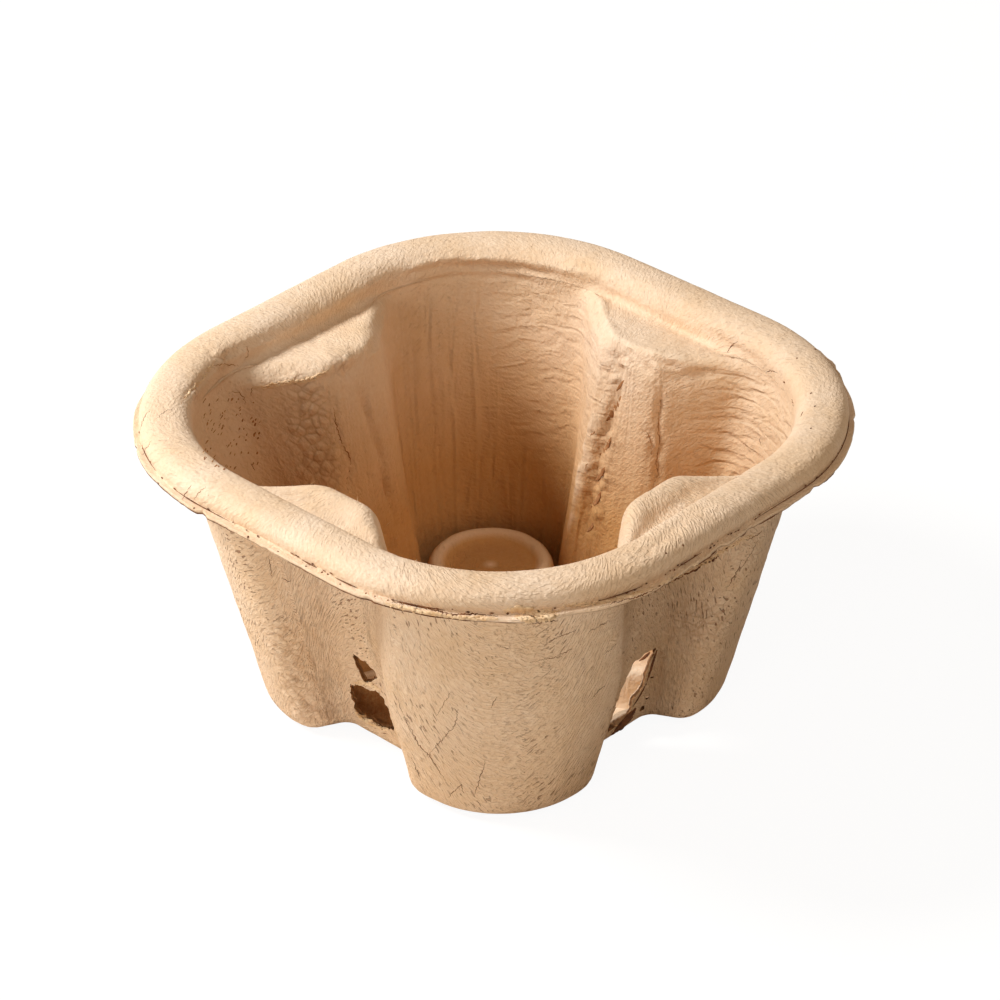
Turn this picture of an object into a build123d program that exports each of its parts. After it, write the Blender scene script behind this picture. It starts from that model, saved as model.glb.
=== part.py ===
"""Cup carrier moulded from paper pulp: one thin shell for a single cup.

The shell is a tapered tub with a rounded square plan. The middle of each side is pressed inwards as
a wedge-shaped rib that holds the cup, which leaves a lobe in every corner, and each rib ends below
the rim in a ledge. The rim is a hollow bead with a thin lip. Every lobe has a raised pad in its
foot, and the four pads carry the cup's base. The sides lie along X and Y, and the origin is the
middle of the underside. Lengths are in mm and angles in degrees.
"""
import os
from collections import namedtuple
from math import cos, radians, sin, sqrt

from build123d import *

# Shell
wall = 2.0
lip_height = 66.8

# Plan, a rounded square: its corner circles keep their centres on the diagonals at every height
corner_reach = 27.0

# Rim: a hollow bead round the mouth, and the thin lip outside it
bead_inner_radius = 35.6
bead_width = 11.1
bead_rise = 3.8
bead_skirt = 1.7
lip_reach = 1.3
lip_thickness = 1.1

# Cup side of the lobes: the radius at the floor, and of the shoulder beside each rib
foot_lobe_radius = 20.8
foot_shoulder_radius = 3.5
neck_shoulder_radius = 8.0
foot_edge_radius = 3.2

# Cup side of the ribs, at the floor and at the neck below the ledge: the waist is from the middle of
# the carrier to the flat face, the half width is that of the flat face, the corner radius lies
# between face and flank, and the flank angle is from the face
foot_waist = 31.8
foot_face_half_width = 9.6
foot_face_corner_radius = 5.0
foot_flank_angle = 63.0
neck_waist = 41.3
neck_face_half_width = 4.0
neck_face_corner_radius = 9.0
neck_flank_angle = 37.0
nose_radius = 3.2
ledge_drop = 0.8

# The lobe at +X -Y is fuller than the others: it narrows the faces of the ribs beside it and flattens
# their flanks, most of all at the squeeze height
squeeze_height = 32.0
face_squeeze = 5.9
flank_ease_angle = 9.0

# Raised pad in the foot of each lobe
pad_reach = 31.4
pad_rise = 9.0
pad_radius = 14.8
pad_taper = 0.8
pad_bevel = 1.4
pad_ring_width = 3.2
pad_dish_depth = 0.9

# Torn openings low in the ribs at -Y and +X, on either side of the fuller lobe
tear_width = 12.0
tear_length = 20.0
tear_bottom = 3.6

# Outlines of the openings, as shares of the width along the side and of the length upwards
LOWER_TEAR_SHARES = (
    (-0.67, 0.52), (-0.73, 0.42), (-0.69, 0.16), (-0.58, 0.08), (-0.30, 0.13), (-0.17, 0.06),
    (0.00, 0.13), (0.27, 0.14), (0.26, 0.30), (0.19, 0.44), (0.13, 0.56), (0.00, 0.62),
    (-0.30, 0.56),
)
UPPER_TEAR_SHARES = (
    (-0.49, 1.00), (-0.44, 0.86), (-0.38, 0.72), (-0.32, 0.65), (-0.11, 0.74), (0.02, 0.83),
    (0.00, 0.92), (-0.18, 0.99),
)
LONG_TEAR_SHARES = (
    (0.79, 0.90), (0.72, 0.71), (0.65, 0.55), (0.64, 0.43), (0.59, 0.34), (0.42, 0.28),
    (0.40, 0.17), (0.34, 0.02), (-0.17, 0.00), (-0.08, 0.29), (0.04, 0.55), (0.15, 0.71),
    (0.23, 0.84), (0.48, 0.88),
)

SIDES = 4
FULL_LOBE = 3
FOOT_SQUEEZE_SHARE = 0.27
DIAGONAL = 45
RIGHT_ANGLE = 90
HALF_TURN = 180
# Shares of a quarter turn at which a rounded edge is cut into bands, and of a half turn for the bead
TURN_SHARES = (0, 1 / 2, 1)
ARCH_SHARES = (0, 1 / 6, 1 / 3, 1 / 2, 2 / 3, 5 / 6, 1)

corner_place = corner_reach * cos(radians(DIAGONAL))
ledge_height = lip_height - ledge_drop
neck_height = ledge_height - nose_radius
bead_base_height = lip_height + bead_skirt

Section = namedtuple("Section", "lobe_radius shoulder_radius waist half_width corner_radius angle")
foot = Section(foot_lobe_radius, foot_shoulder_radius, foot_waist, foot_face_half_width,
               foot_face_corner_radius, foot_flank_angle)
neck = Section(bead_inner_radius, neck_shoulder_radius, neck_waist, neck_face_half_width,
               neck_face_corner_radius, neck_flank_angle)


def polar(radius, angle):
    """Point at a radius and an angle from +X."""
    return Vector(radius * cos(radians(angle)), radius * sin(radians(angle)))


def four(form):
    """Copies of a form for the four sides or corners."""
    return [Rot(0, 0, index * RIGHT_ANGLE) * form for index in range(SIDES)]


def quarter_turns():
    """Angles in radians that cut a rounded edge into bands."""
    return [radians(share * RIGHT_ANGLE) for share in TURN_SHARES]


def squeeze_share(height):
    """Share of the full squeeze that the fuller lobe has at a height."""
    if height < squeeze_height:
        share = (height - wall) / (squeeze_height - wall)
        return FOOT_SQUEEZE_SHARE + share * (1 - FOOT_SQUEEZE_SHARE)
    return (neck_height - height) / (neck_height - squeeze_height)


def draft(height, index):
    """Sizes of the lobe with an index, and of the ribs beside it, on the straight draft."""
    share = (height - wall) / (neck_height - wall)
    sizes = Section(*[low + share * (high - low) for low, high in zip(foot, neck)])
    if index == FULL_LOBE:
        share = squeeze_share(height)
        return sizes._replace(half_width=sizes.half_width - share * face_squeeze,
                              angle=sizes.angle - share * flank_ease_angle)
    return sizes


def half_lobe_points(sizes):
    """Points from the middle of a rib's face to a lobe's crown.

    The shoulder arc touches the straight flank of the rib and, from within, the circle of the lobe.
    """
    outward = polar(1, -sizes.angle)
    along = polar(1, RIGHT_ANGLE - sizes.angle)
    corner_centre = Vector(sizes.waist + sizes.corner_radius, sizes.half_width)
    flank_start = corner_centre - outward * sizes.corner_radius
    lobe_centre = polar(corner_reach, DIAGONAL)
    inset = outward.dot(flank_start - lobe_centre) - sizes.shoulder_radius
    spread = sqrt((sizes.lobe_radius - sizes.shoulder_radius) ** 2 - inset**2)
    shoulder_centre = lobe_centre + outward * inset + along * spread
    to_crown = (shoulder_centre - lobe_centre).normalized()
    return [
        Vector(sizes.waist, 0),
        Vector(sizes.waist, sizes.half_width),
        corner_centre + polar(sizes.corner_radius, HALF_TURN - sizes.angle / 2),
        flank_start,
        shoulder_centre + outward * sizes.shoulder_radius,
        shoulder_centre + (outward + to_crown).normalized() * sizes.shoulder_radius,
        lobe_centre + to_crown * sizes.lobe_radius,
    ]


def half_lobe_edges(points):
    """Half face, corner arc, flank and shoulder arc through the points of half a lobe."""
    start, face_end, corner_middle, flank_start, flank_end, shoulder_middle, crown_end = points
    return [Line(start, face_end), ThreePointArc(face_end, corner_middle, flank_start),
            Line(flank_start, flank_end), ThreePointArc(flank_end, shoulder_middle, crown_end)]


def lobe_edges(height, offset, retreat, index):
    """Edges of the lobe with an index and the half ribs beside it."""
    sizes = draft(height, index)
    sizes = Section(sizes.lobe_radius + offset, sizes.shoulder_radius + offset,
                    sizes.waist + offset + retreat, sizes.half_width,
                    sizes.corner_radius - offset - retreat, sizes.angle)
    points = half_lobe_points(sizes)
    swapped = [Vector(point.Y, point.X) for point in points]
    crown_middle = polar(corner_reach + sizes.lobe_radius, DIAGONAL)
    crown = ThreePointArc(points[-1], crown_middle, swapped[-1])
    edges = half_lobe_edges(points) + [crown] + half_lobe_edges(swapped)
    return [Rot(0, 0, index * RIGHT_ANGLE) * edge for edge in edges]


def outline(height, offset, retreat=0):
    """Closed outline of lobes and ribs at a height, at an offset outwards from the cup side.

    The retreat moves only the ribs outwards, over their rounded tops.
    """
    edges = []
    for index in range(SIDES):
        edges += lobe_edges(height, offset, retreat, index)
    return Pos(0, 0, height) * make_face(edges)


def nose(thickness):
    """Outlines over the rounded tops of the ribs, from the neck to the ledge."""
    radius = nose_radius - thickness
    return [outline(neck_height + radius * sin(turn), thickness, radius * (1 - cos(turn)))
            for turn in quarter_turns()]


def collar(radius, low):
    """Block with the plan of the mouth at a corner radius, from a height up to the lip."""
    side = 2 * (corner_place + radius)
    return extrude(Pos(0, 0, low) * RectangleRounded(side, side, radius), lip_height - low)


def cavity():
    """Space inside the shell, from the floor past the ribs and over the ledges to the lip."""
    between_ribs = loft([outline(wall, 0), outline(squeeze_height, 0), *nose(0)], ruled=True)
    return between_ribs + collar(bead_inner_radius, ledge_height)


def body():
    """Outer form of the shell, with its rounded lower edge and the hollows behind the ribs."""
    edge = [outline(foot_edge_radius * (1 - cos(turn)), wall - foot_edge_radius * (1 - sin(turn)))
            for turn in quarter_turns()]
    around_ribs = loft([*edge, outline(squeeze_height, wall), *nose(wall)], ruled=True)
    return around_ribs + collar(bead_inner_radius + wall, ledge_height - wall)


def pad():
    """Round pad with a bevelled edge and a shallow dish inside its ring."""
    top = wall + pad_rise
    top_radius = pad_radius - pad_taper
    ring_radius = top_radius - pad_bevel - pad_ring_width
    corners = [
        (0, wall),
        (pad_radius, wall),
        (top_radius, top - pad_bevel),
        (top_radius - pad_bevel, top),
        (ring_radius, top),
        (ring_radius - pad_dish_depth, top - pad_dish_depth),
        (0, top - pad_dish_depth),
    ]
    return revolve(Plane.XZ * make_face(Polyline(*corners, close=True)), Axis.Z)


def pad_recess():
    """Hollow below a pad, which leaves the wall under its dish and inside its edge."""
    top = pad_rise - pad_dish_depth
    radius = pad_radius - wall
    corners = [(0, 0), (radius, 0), (radius - pad_taper, top), (0, top)]
    return revolve(Plane.XZ * make_face(Polyline(*corners, close=True)), Axis.Z)


def in_feet(form):
    """Copies of a form at the middle of each lobe's foot."""
    return four(Pos(polar(pad_reach, DIAGONAL)) * form)


def bead_arch(radius_x, radius_z):
    """Points of half an ellipse over the skirt of the bead, from its outer to its inner end."""
    middle = bead_inner_radius + bead_width / 2
    turns = [radians(share * HALF_TURN) for share in ARCH_SHARES]
    return [(middle + radius_x * cos(turn), bead_base_height + radius_z * sin(turn))
            for turn in turns]


def rim_profile():
    """Section of the hollow bead, with its inner leg, its skirt and its lip."""
    bead_outer_radius = bead_inner_radius + bead_width
    lip_radius = bead_outer_radius + lip_reach
    lip_top = lip_height + lip_thickness
    corners = [
        *bead_arch(bead_width / 2, bead_rise),
        (bead_inner_radius, lip_height),
        (bead_inner_radius + wall, lip_height),
        *reversed(bead_arch(bead_width / 2 - wall, bead_rise - wall)),
        (bead_outer_radius - wall, lip_height),
        (lip_radius, lip_height),
        (lip_radius, lip_top),
        (bead_outer_radius, lip_top),
    ]
    return make_face(Polyline(*corners, close=True))


def rim():
    """The bead round the whole mouth: a turned corner and a straight side, four times."""
    profile = Plane.XZ * rim_profile()
    corner = revolve(profile, Axis.Z, RIGHT_ANGLE)
    side = extrude(profile, amount=2 * corner_place, dir=(0, -1, 0))
    return four(Pos(corner_place, corner_place) * (corner + side))


def tear(shares, turn):
    """Cutter for one torn opening, straight through the foot of the rib at -Y, turned about Z."""
    corners = [(tear_width * along, tear_bottom + tear_length * up) for along, up in shares]
    cutter = make_face(Polyline(*corners, close=True))
    start = Plane.XZ.offset(foot_waist - wall)
    return Rot(0, 0, turn) * extrude(start * cutter, neck_waist + wall - foot_waist)


def carrier():
    """The whole shell: body, rim and pads as one moulded piece, with its torn openings."""
    shell = body() - cavity() + rim() + in_feet(pad()) - in_feet(pad_recess())
    return shell - [tear(LOWER_TEAR_SHARES, 0), tear(UPPER_TEAR_SHARES, 0),
                    tear(LONG_TEAR_SHARES, RIGHT_ANGLE)]


if __name__ == "__main__":
    os.makedirs("parts", exist_ok=True)
    shell = carrier()
    shell.label = "carrier_shell"
    export_step(shell, "parts/carrier_shell.step")
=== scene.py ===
"""Cup carrier moulded from paper pulp: one continuous sheet of fibre with a cup side and a mould side.

Lengths are in mm until a mesh is made. The plan repeats the carrier's outlines: a rounded square whose
corner circles keep their centres, with a wedge-shaped rib pressed into the middle of each side. A detail
that one place alone has is given by its points in the picture, 1000 wide and high, and cast onto the sheet.
"""
import math
import random

import bmesh
import bpy
import numpy as np
from mathutils import Matrix, Vector, geometry
from mathutils.bvhtree import BVHTree
from mathutils.kdtree import KDTree


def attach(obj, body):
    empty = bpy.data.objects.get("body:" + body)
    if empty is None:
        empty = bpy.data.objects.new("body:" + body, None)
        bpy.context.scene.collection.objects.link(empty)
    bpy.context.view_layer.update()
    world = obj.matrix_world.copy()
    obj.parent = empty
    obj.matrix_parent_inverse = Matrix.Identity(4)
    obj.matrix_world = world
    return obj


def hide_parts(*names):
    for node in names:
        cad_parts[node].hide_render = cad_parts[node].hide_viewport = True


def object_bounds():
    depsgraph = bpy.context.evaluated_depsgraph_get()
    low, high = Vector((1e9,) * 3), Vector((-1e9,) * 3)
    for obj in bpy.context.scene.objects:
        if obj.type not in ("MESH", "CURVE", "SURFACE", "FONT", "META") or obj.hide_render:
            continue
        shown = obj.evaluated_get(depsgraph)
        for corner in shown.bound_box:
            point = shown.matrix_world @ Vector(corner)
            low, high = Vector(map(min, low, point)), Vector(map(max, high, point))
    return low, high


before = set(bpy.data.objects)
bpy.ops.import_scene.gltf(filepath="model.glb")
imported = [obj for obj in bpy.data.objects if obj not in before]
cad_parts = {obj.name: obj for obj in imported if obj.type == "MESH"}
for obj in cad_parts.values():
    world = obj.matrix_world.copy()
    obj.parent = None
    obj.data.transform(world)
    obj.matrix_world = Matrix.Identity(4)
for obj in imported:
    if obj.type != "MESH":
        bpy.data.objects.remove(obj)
cad_low, cad_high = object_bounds()
MM = 0.001
BOX_LOW, BOX_HIGH = np.array(cad_low) / MM, np.array(cad_high) / MM

# The carrier's measures
WALL, LIP_Z, REACH, HALF_SIDE = 2.0, 66.8, 27.0, 67.08
PLACE = REACH * math.cos(math.radians(45))
BEAD_R, BEAD_W, BEAD_RISE, SKIRT, LIP_REACH = 35.6, 11.1, 3.8, 1.7, 1.3
LEDGE_Z, NOSE = 66.0, 3.2
NECK_Z = LEDGE_Z - NOSE
EDGE_R = 3.2
FOOT = np.array([20.8, 3.5, 31.8, 9.6, 5.0, 63.0])
NECK = np.array([35.6, 8.0, 41.3, 4.0, 9.0, 37.0])
SQUEEZE_Z, FACE_SQUEEZE, FLANK_EASE, FOOT_SQUEEZE, FULL_LOBE = 32.0, 5.9, 9.0, 0.27, 3
PAD_REACH, PAD_R, RECESS_R = 31.4, 14.8, 12.8
# intervals along half a lobe: face, corner, flank, shoulder and half crown
PARTS = (8, 9, 13, 9, 16)
HALF = sum(PARTS)
AROUND = 8 * HALF

# Camera of the photograph
EYE = np.array([475.844, -507.470, 492.242])
VIEW = np.array([-0.583539, 0.622320, -0.521728])
RIGHT = np.array([0.731561, 0.681757, -0.005027])
UP = np.array([-0.352563, 0.384609, 0.853097])
FOCAL, CENTRE_X, CENTRE_Y = 3924.6, 494.2, 418.25
PICTURE, SENSOR = 1000, 36


def ray(x, y):
    """Direction of the camera's ray through a point of the picture."""
    d = VIEW * FOCAL + (x - CENTRE_X) * RIGHT - (y - CENTRE_Y) * UP
    return d / np.linalg.norm(d)


def seen(points):
    """Where points lie in the picture."""
    d = np.asarray(points) - EYE
    deep = d @ VIEW
    return np.stack([CENTRE_X + FOCAL * (d @ RIGHT) / deep, CENTRE_Y - FOCAL * (d @ UP) / deep], -1)


def drawn(text):
    """Points of the picture written as "x,y x,y"."""
    return [tuple(float(number) for number in pair.split(",")) for pair in text.split()]


# Smooth noise
def lattice(i, j, k, seed):
    h = (i * 73856093) ^ (j * 19349663) ^ (k * 83492791) ^ (seed * 2654435761 & 0x7FFFFFFF)
    h = (h ^ (h >> 13)) * 1274126177 & 0xFFFFFFFF
    h = (h ^ (h >> 16)) * 2246822519 & 0xFFFFFFFF
    return ((h ^ (h >> 15)) & 0xFFFFFF) / 8388607.5 - 1


def noise(p, size, seed):
    """Smooth noise from -1 to 1 with lumps of a size, at points of shape (..., 3)."""
    q = np.asarray(p, float) / size + seed * 7.31
    i = np.floor(q).astype(np.int64)
    f = q - i
    s = f * f * f * (f * (f * 6 - 15) + 10)
    total = 0
    for a in (0, 1):
        for b in (0, 1):
            for c in (0, 1):
                w = ((s[..., 0] if a else 1 - s[..., 0]) * (s[..., 1] if b else 1 - s[..., 1])
                     * (s[..., 2] if c else 1 - s[..., 2]))
                total = total + w * lattice(i[..., 0] + a, i[..., 1] + b, i[..., 2] + c, seed)
    return total


def layers(p, size, seed, count=3):
    """Sum of noises, each half the size and about half the strength of the one before."""
    return sum(noise(p, size / 2**n, seed + n) * 0.55**n for n in range(count))


# Plan of the carrier
def unit(angle):
    return np.array([math.cos(math.radians(angle)), math.sin(math.radians(angle))])


def arc(centre, radius, start, end, count):
    turns = np.radians(np.linspace(start, end, count + 1))
    return centre + radius * np.stack([np.cos(turns), np.sin(turns)], 1)


def sizes_at(z, index):
    sizes = FOOT + (z - WALL) / (NECK_Z - WALL) * (NECK - FOOT)
    if index == FULL_LOBE:
        if z < SQUEEZE_Z:
            share = FOOT_SQUEEZE + (z - WALL) / (SQUEEZE_Z - WALL) * (1 - FOOT_SQUEEZE)
        else:
            share = (NECK_Z - z) / (NECK_Z - SQUEEZE_Z)
        sizes = sizes - share * np.array([0, 0, 0, FACE_SQUEEZE, 0, FLANK_EASE])
    return sizes


def half_lobe(sizes, offset, retreat):
    """Points from the middle of a rib's face to the middle of a lobe's crown, and the arc's end angle."""
    lobe, shoulder, waist, half, corner, angle = sizes
    lobe, shoulder, waist, corner = (lobe + offset, shoulder + offset, waist + offset + retreat,
                                     corner - offset - retreat)
    out, along = unit(-angle), unit(90 - angle)
    corner_centre = np.array([waist + corner, half])
    flank = corner_centre - out * corner
    middle = np.array([PLACE, PLACE])
    inset = out @ (flank - middle) - shoulder
    spread = math.sqrt(max((lobe - shoulder) ** 2 - inset**2, 1e-6))
    hub = middle + out * inset + along * spread
    crown = math.degrees(math.atan2(*(hub - middle)[::-1]))
    runs = [
        np.linspace([waist, 0], [waist, half], PARTS[0] + 1),
        arc(corner_centre, corner, 180, 180 - angle, PARTS[1]),
        np.linspace(flank, hub + out * shoulder, PARTS[2] + 1),
        arc(hub, shoulder, -angle, crown, PARTS[3]),
        arc(middle, lobe, crown, 45, PARTS[4]),
    ]
    return np.concatenate([runs[0]] + [run[1:] for run in runs[1:]]), crown


def turned(points, index):
    c, s = ((1, 0), (0, 1), (-1, 0), (0, -1))[index]
    return np.stack([c * points[:, 0] - s * points[:, 1], s * points[:, 0] + c * points[:, 1]], 1)


def ring_of(halves):
    """All columns once round, from a function that gives half a lobe for an index."""
    rings = []
    for index in range(4):
        half = halves(index)
        lobe = np.concatenate([half, half[-2::-1, ::-1]])[:-1]
        rings.append(turned(lobe, index))
    return np.concatenate(rings)


def outline(z, offset, retreat=0.0):
    ring = ring_of(lambda index: half_lobe(sizes_at(z, index), offset, retreat)[0])
    return np.column_stack([ring, np.full(len(ring), z)])


def rim_columns():
    """Base point and direction of every column on the rim, whose plan is a rounded square."""
    half, crown = half_lobe(NECK, 0, 0)
    run = np.concatenate([[0], np.cumsum(np.linalg.norm(np.diff(half, axis=0), axis=1))])
    bend = HALF - PARTS[4]
    reach = run[: bend + 1] / run[bend] * (PLACE + BEAD_R * math.radians(crown))
    side = np.minimum(reach, PLACE)
    turn = np.maximum(reach - PLACE, 0) / BEAD_R
    turn = np.concatenate([turn, np.radians(np.linspace(crown, 45, PARTS[4] + 1))[1:]])
    side = np.concatenate([side, np.full(PARTS[4], PLACE)])
    base = np.column_stack([np.full(HALF + 1, PLACE), side])
    way = np.column_stack([np.cos(turn), np.sin(turn)])
    return ring_of(lambda _: base), ring_of(lambda _: way)


RIM_BASE, RIM_WAY = rim_columns()


def rim_row(radius, z):
    radius = np.broadcast_to(radius, (AROUND,))
    z = np.broadcast_to(z, (AROUND,))
    return np.column_stack([RIM_BASE + RIM_WAY * radius[:, None], z])


# Rows of the sheet
FINE = 420  # points of a column while it is rounded off


def settle(path, rows, sigma, split=None):
    """Rows of a path resampled evenly along every column and rounded off, with its ends kept.

    With a split, (row of the path, count of new rows up to it), the two parts are shared out apart.
    """
    path = np.stack(path)
    fine = FINE
    steps = np.linalg.norm(np.diff(path, axis=0), axis=2)
    run = np.concatenate([np.zeros((1, AROUND)), np.cumsum(steps, axis=0)])
    even = np.empty((fine, AROUND, 3))
    for c in range(AROUND):
        at = np.linspace(0, run[-1, c], fine)
        for axis in range(3):
            even[:, c, axis] = np.interp(at, run[:, c], path[:, c, axis])
    spread = run[-1] / (fine - 1)
    reach = int(4 * sigma / spread.min()) + 1
    head = 2 * even[0] - even[1 : reach + 1][::-1]
    tail = 2 * even[-1] - even[-reach - 1 : -1][::-1]
    padded = np.concatenate([head, even, tail])
    taps = np.arange(-reach, reach + 1)
    smooth = np.zeros_like(even)
    weight = np.exp(-0.5 * (taps[:, None] * spread / sigma) ** 2)
    weight /= weight.sum(axis=0)
    for n, tap in enumerate(taps):
        smooth += padded[reach + tap : reach + tap + fine] * weight[n][None, :, None]
    out = np.empty((rows, AROUND, 3))
    for c in range(AROUND):
        at = np.linspace(0, 1, rows)
        if split:
            part, count = split
            share = run[part, c] / run[-1, c]
            at = np.concatenate([np.linspace(0, share, count, endpoint=False),
                                 np.linspace(share, 1, rows - count)])
        for axis in range(3):
            out[:, c, axis] = np.interp(at * (fine - 1), np.arange(fine), smooth[:, c, axis])
    return out


def bead(radius_x, radius_z, start, end, count, fullness=1.0):
    """Rows over the bead; a fullness below one makes its outer shoulder squarer."""
    middle, base = BEAD_R + BEAD_W / 2, LIP_Z + SKIRT
    rows = []
    for t in np.radians(np.linspace(start, end, count)):
        power = fullness if math.cos(t) > 0 else 0.5 + 0.5 * fullness
        across = math.copysign(abs(math.cos(t)) ** power, math.cos(t))
        rows.append(rim_row(middle + radius_x * across, base + radius_z * abs(math.sin(t)) ** power))
    return rows


def cup_side_rows():
    walls = [outline(WALL, -1.2), outline(WALL, 0)]
    walls += [outline(z, 0) for z in np.linspace(WALL + 1, NECK_Z, 50)]
    turns = np.radians(np.linspace(0, 90, 9))[1:]
    edge, leg = outline(NECK_Z, 0, NOSE), rim_row(BEAD_R, LEDGE_Z)
    edge[:, 2] = LEDGE_Z
    # the ledges are pillows that stand highest near their inner edge, more so on the two near sides
    width = np.linalg.norm(edge - leg, axis=1)
    near_side = np.clip((edge[:, 0] - edge[:, 1]) / 40, 0, 1)
    pillow = (0.5 + 2.3 * near_side) * np.clip((width - 0.5) / 9, 0, 1)
    nose = []
    for t in turns:
        row = outline(NECK_Z, 0, NOSE * (1 - math.cos(t)))
        row[:, 2] = NECK_Z + (NOSE + pillow) * math.sin(t)
        nose.append(row)
    ledge = []
    for share in np.linspace(0, 1, 13)[1:]:
        row = edge + (leg - edge) * share
        row[:, 2] += pillow * (0.5 + 0.5 * math.cos(math.pi * share))
        ledge.append(row)
    arch = bead(BEAD_W / 2, BEAD_RISE, 180, 0, 30, 0.66)
    skirt = [rim_row(BEAD_R + BEAD_W - 0.35, LIP_Z + 1.2)]
    path = walls + nose + ledge + arch + skirt
    return settle(path, 98, 1.0, (len(walls) - 1, 52))


def mould_side_rows():
    leg = BEAD_R + BEAD_W - WALL
    under = [rim_row(leg, LIP_Z)] + bead(BEAD_W / 2 - WALL, BEAD_RISE - WALL, 0, 180, 16)
    inner = BEAD_R + WALL
    under += [rim_row(inner, LIP_Z), rim_row(inner, LEDGE_Z - WALL)]
    round_top = NOSE - WALL
    nose = [np.column_stack([outline(NECK_Z, WALL, round_top * (1 - math.cos(t)))[:, :2],
                             np.full(AROUND, NECK_Z + round_top * math.sin(t))])
            for t in np.radians(np.linspace(90, 0, 6))]
    ledge = [under[-1] + (nose[0] - under[-1]) * s for s in np.linspace(0, 1, 7)[1:-1]]
    walls = [outline(z, WALL) for z in np.linspace(NECK_Z, EDGE_R, 48)[1:]]
    foot = [np.column_stack([outline(max(z, 0.0), off)[:, :2], np.full(AROUND, z)])
            for z, off in [(EDGE_R * (1 - math.sin(t)), WALL - EDGE_R * (1 - math.cos(t)))
                           for t in np.radians(np.linspace(0, 90, 8))[1:]]]
    path = under + ledge + nose + walls + foot
    return settle(path, 86, 0.7, (len(under) + len(ledge), 30))


# places in the picture where torn bits of the lip still stand out: (x, y, reach in pixels, mm more)
LIP_BITS = ((823, 354, 30, 1.3), (188, 352, 10, 0.5), (235, 322, 7, 0.4), (335, 270, 7, 0.4),
            (362, 254, 8, 0.5), (402, 243, 15, 0.6), (530, 616, 34, 0.9), (620, 603, 50, 0.7))
# the lip's section: (share of its reach, height over the rim's edge)
LIP_SECTION = ((-0.1, 0.86), (0.25, 0.80), (0.6, 0.92), (0.88, 0.90), (1.0, 0.62), (0.93, 0.22), (0.6, 0.06))


def lip_reach():
    """How far the thin lip stands out all round: worn back unevenly, in places down to nothing."""
    edge = rim_row(BEAD_R + BEAD_W + 1, LIP_Z)
    worn = 0.5 + 0.5 * layers(edge, 9.0, 11, 4)
    nicks = np.clip(noise(edge, 2.3, 15) - 0.30, 0, 1) * 1.3
    far = np.clip((edge[:, 1] - edge[:, 0]) / 60 - 0.2, 0, 1)
    share = 1.22 - 0.55 * worn - nicks - 0.75 * far
    more = np.zeros(AROUND)
    for x, y, size, extra in LIP_BITS:
        close = np.exp(-(np.linalg.norm(seen(edge) - [x, y], axis=1) / size) ** 4)
        share = np.maximum(share, 1.15 * close - 0.2 * nicks)
        more = np.maximum(more, extra * close * (1 - 0.6 * nicks))
    reach = LIP_REACH * np.clip(share, 0.1, 1) + more
    # a side's lip can't pass the carrier's box, a corner's can
    room = (HALF_SIDE - np.abs(RIM_BASE)) / np.maximum(np.abs(RIM_WAY), 1e-6)
    return np.minimum(reach, room.min(axis=1) - BEAD_R - BEAD_W)


def lip_rows():
    """The rows of the thin lip outside the bead."""
    edge, reach = rim_row(BEAD_R + BEAD_W + 1, LIP_Z), lip_reach()
    lift = 0.16 * noise(edge, 5.0, 17) + 0.10 * noise(edge, 1.7, 18)
    outer = BEAD_R + BEAD_W
    rows = []
    for share, z in LIP_SECTION:
        rows.append(rim_row(outer + reach * share, np.clip(LIP_Z + z + lift * share, LIP_Z, None)))
    rows.append(rim_row(outer - 0.9, LIP_Z + 0.02))
    return np.stack(rows)


# Mesh of the sheet
class Sheet:
    """Collects the points and faces of the closed sheet."""

    def __init__(self):
        self.points, self.faces, self.sides, self.walls = [], [], [], []
        self.count = 0

    def add(self, points, side, wall=False):
        start = self.count
        self.points.append(np.asarray(points, float))
        self.sides.append(np.full(len(points), side))
        self.walls.append(np.full(len(points), wall))
        self.count += len(points)
        return np.arange(start, self.count)

    def band(self, low, high):
        n = len(low)
        for i in range(n):
            j = (i + 1) % n
            self.faces.append((low[i], low[j], high[j], high[i]))

    def cap(self, ring):
        centre = self.add([np.concatenate(self.points)[ring].mean(axis=0)], 0)[0]
        n = len(ring)
        for i in range(n):
            self.faces.append((ring[i], ring[(i + 1) % n], centre))


def inside(points, ring):
    """Which points lie within a closed ring in plan."""
    x, y = points[:, 0][:, None], points[:, 1][:, None]
    ax, ay = ring[:, 0][None], ring[:, 1][None]
    bx, by = np.roll(ring[:, 0], -1)[None], np.roll(ring[:, 1], -1)[None]
    cross = ((ay > y) != (by > y)) & (x < (bx - ax) * (y - ay) / np.where(by == ay, 1e-9, by - ay) + ax)
    return cross.sum(axis=1) % 2 == 1


def pad_centres():
    return [turned(unit(45)[None] * PAD_REACH, index)[0] for index in range(4)]


def circle(centre, radius, count=64):
    turns = np.linspace(0, 2 * math.pi, count, endpoint=False)
    return np.column_stack([centre[0] + radius * np.cos(turns), centre[1] + radius * np.sin(turns)])


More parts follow.
